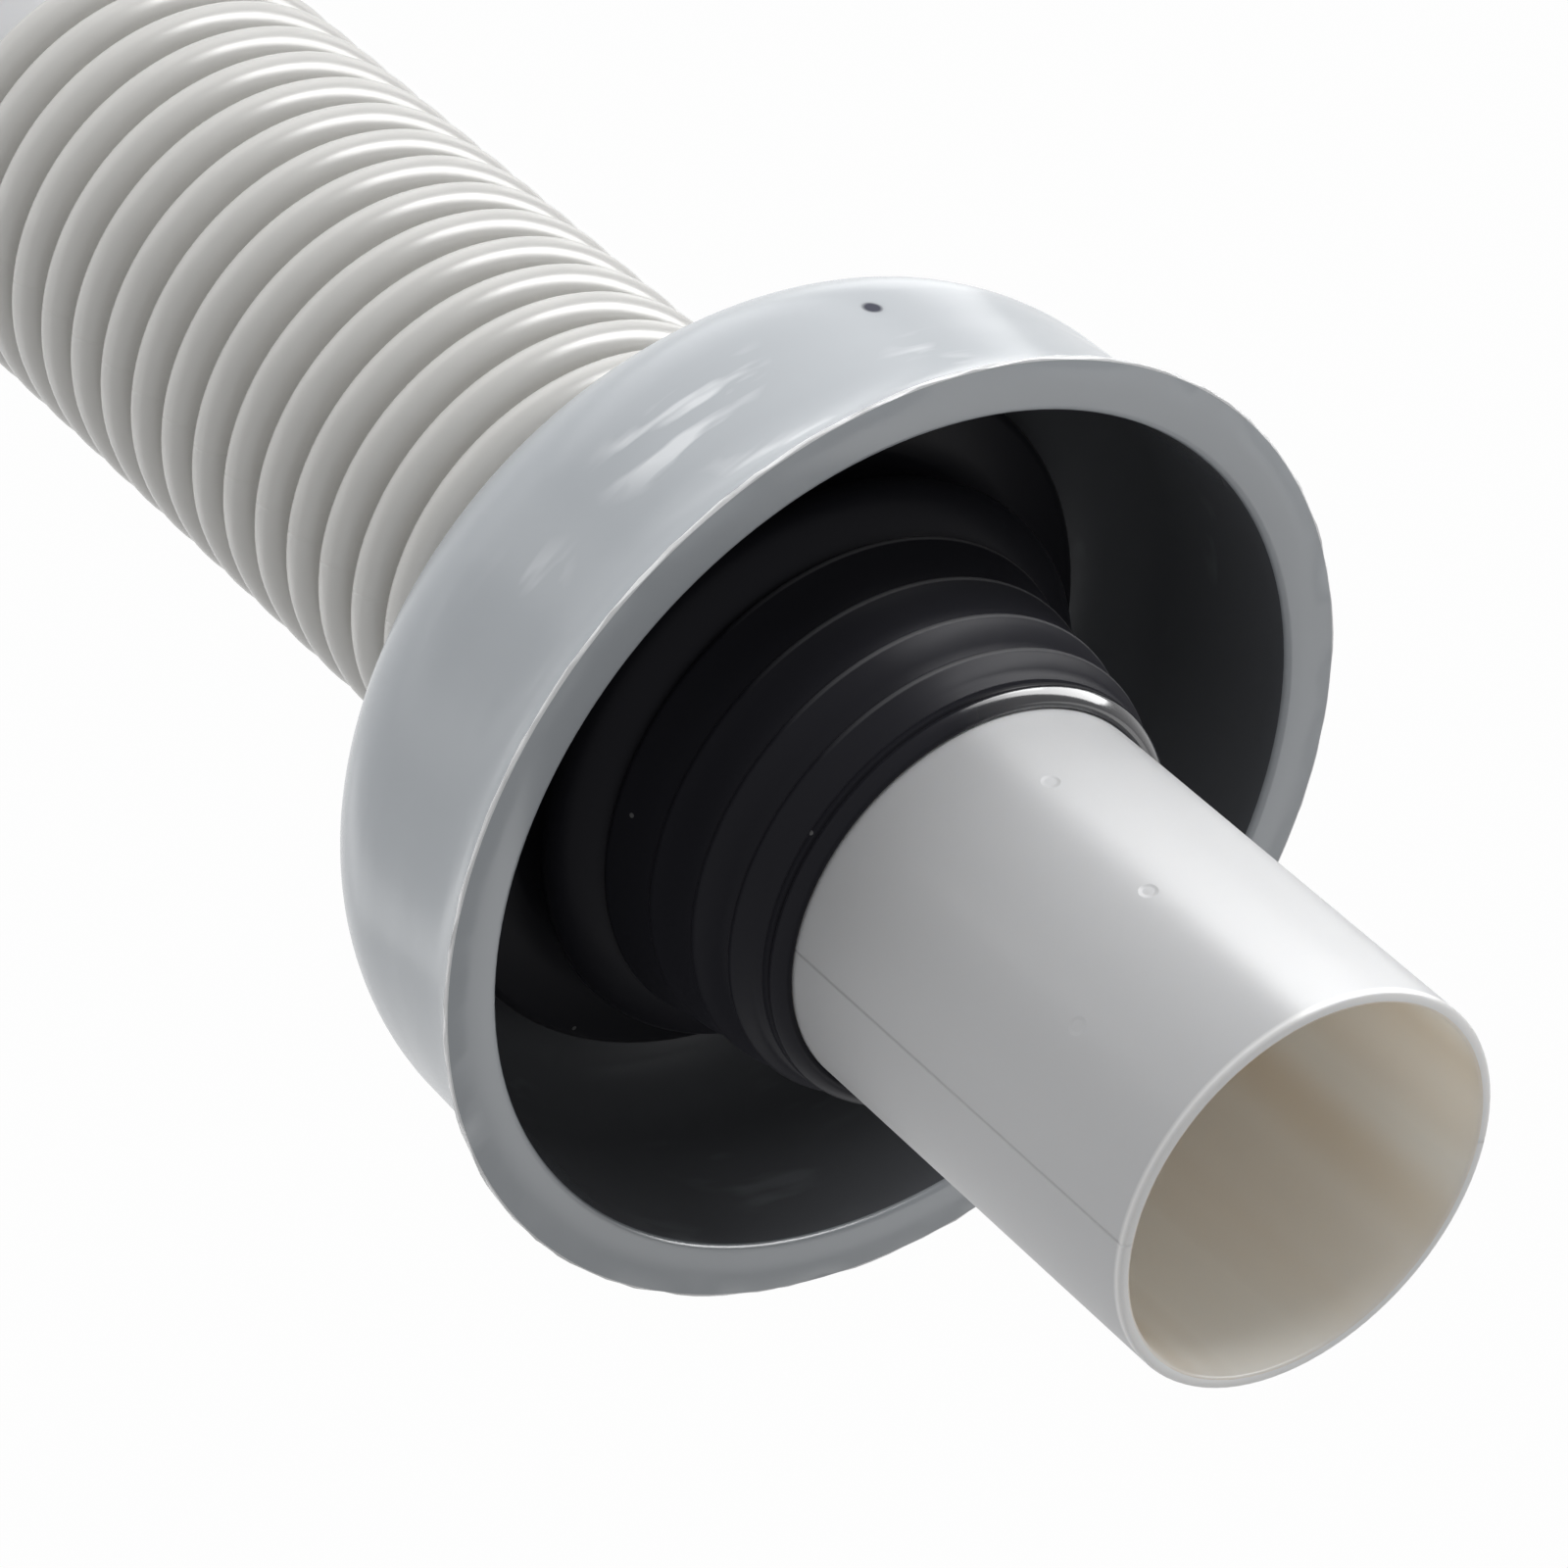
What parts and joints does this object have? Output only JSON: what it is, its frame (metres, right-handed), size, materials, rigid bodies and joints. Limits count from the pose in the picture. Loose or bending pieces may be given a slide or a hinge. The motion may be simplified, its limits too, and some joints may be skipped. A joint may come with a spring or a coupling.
{
  "type": "flexible waste pipe",
  "caption": "Flexible waste pipe: a ringed bellows hose with a plain spigot, a stepped rubber seal on the spigot and a round cover bell that hides the wall hole.",
  "frame": {"origin": "centre of the plain cuff's end face, on the pipe's axis; the pipe stands on this face", "axes": "+Z along the pipe's axis from the cuff to the spigot's mouth; X and Y are free, because every piece is round about Z"},
  "size_m": [0.0982, 0.0982, 0.234],
  "materials": {
    "blown_plastic": "satin blow-moulded polypropylene, light grey",
    "bell_plastic": "glossy moulded plastic, mid grey",
    "seal_rubber": "black moulded rubber with a dull gloss"
  },
  "bodies": {
    "root": {"flexible_pipe": "blown_plastic", "cover_bell": "bell_plastic", "rubber_seal": "seal_rubber"}
  },
  "joints": []
}
